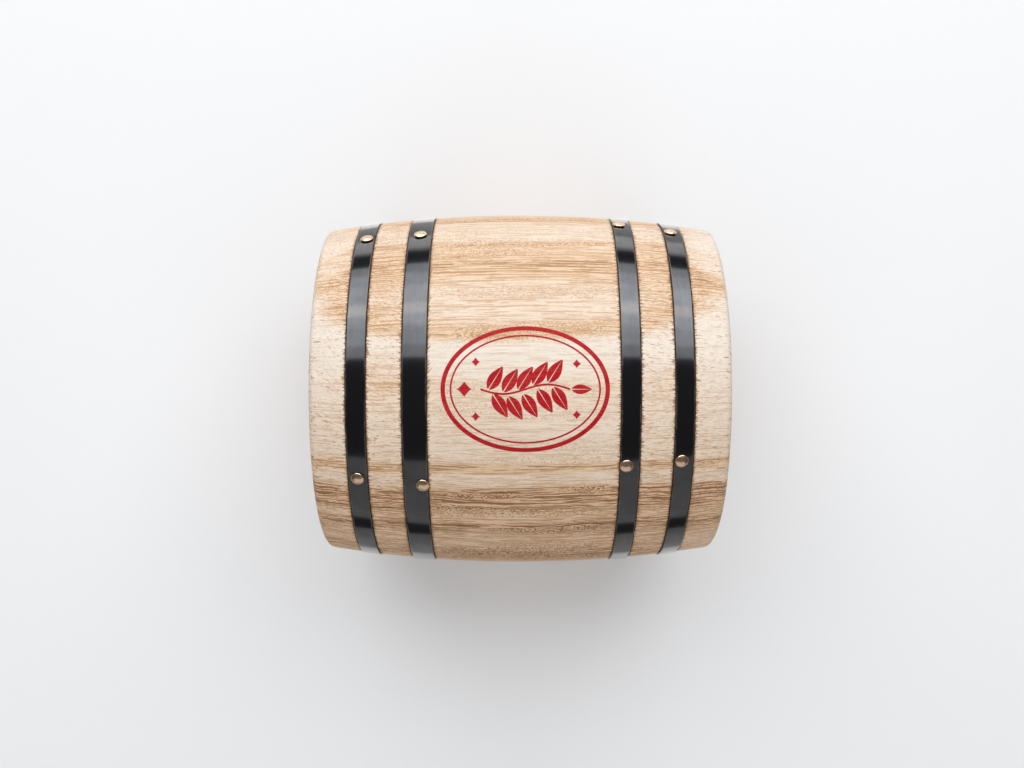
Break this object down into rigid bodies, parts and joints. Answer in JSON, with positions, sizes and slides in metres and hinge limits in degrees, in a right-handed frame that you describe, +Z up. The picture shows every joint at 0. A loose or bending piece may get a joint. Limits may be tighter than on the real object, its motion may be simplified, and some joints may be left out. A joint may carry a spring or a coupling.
{
  "type": "barrel canister",
  "caption": "Turned wooden barrel canister lying on its side, with tacked steel hoops, a glued-in bottom head and a push-in sealed lid with a low knob.",
  "frame": {"origin": "on the floor under the middle of the barrel, which lies on its side", "axes": "+X along the barrel's axis from the base end to the lid end, +Z up"},
  "size_m": [0.144, 0.1326, 0.1326],
  "materials": {
    "shell_wood": "bare turned wood, sanded and lightly oiled",
    "head_wood": "bare sanded wood",
    "hoop_steel": "satin black, worn at the edges",
    "tack_copper": "copper-coloured, lightly tarnished",
    "seal_silicone": "translucent white silicone",
    "screw_steel": "zinc plated"
  },
  "bodies": {
    "barrel": {"barrel_shell": "shell_wood", "bottom_head": "head_wood", "base_end_hoop": "hoop_steel", "base_quarter_hoop": "hoop_steel", "lid_quarter_hoop": "hoop_steel", "lid_end_hoop": "hoop_steel", "base_end_hoop_tack_1": "tack_copper", "base_end_hoop_tack_2": "tack_copper", "base_end_hoop_tack_3": "tack_copper", "base_end_hoop_tack_4": "tack_copper", "base_quarter_hoop_tack_1": "tack_copper", "base_quarter_hoop_tack_2": "tack_copper", "base_quarter_hoop_tack_3": "tack_copper", "base_quarter_hoop_tack_4": "tack_copper", "lid_quarter_hoop_tack_1": "tack_copper", "lid_quarter_hoop_tack_2": "tack_copper", "lid_quarter_hoop_tack_3": "tack_copper", "lid_quarter_hoop_tack_4": "tack_copper", "lid_end_hoop_tack_1": "tack_copper", "lid_end_hoop_tack_2": "tack_copper", "lid_end_hoop_tack_3": "tack_copper", "lid_end_hoop_tack_4": "tack_copper"},
    "lid": {"lid_disc": "head_wood", "lid_seal": "seal_silicone", "lid_knob": "head_wood", "knob_screw": "screw_steel"}
  },
  "joints": [
    {"name": "lid_slide", "type": "slide", "parent": "barrel", "child": "lid", "axis": [1, 0, 0], "range_m": [0, 0.05]}
  ]
}
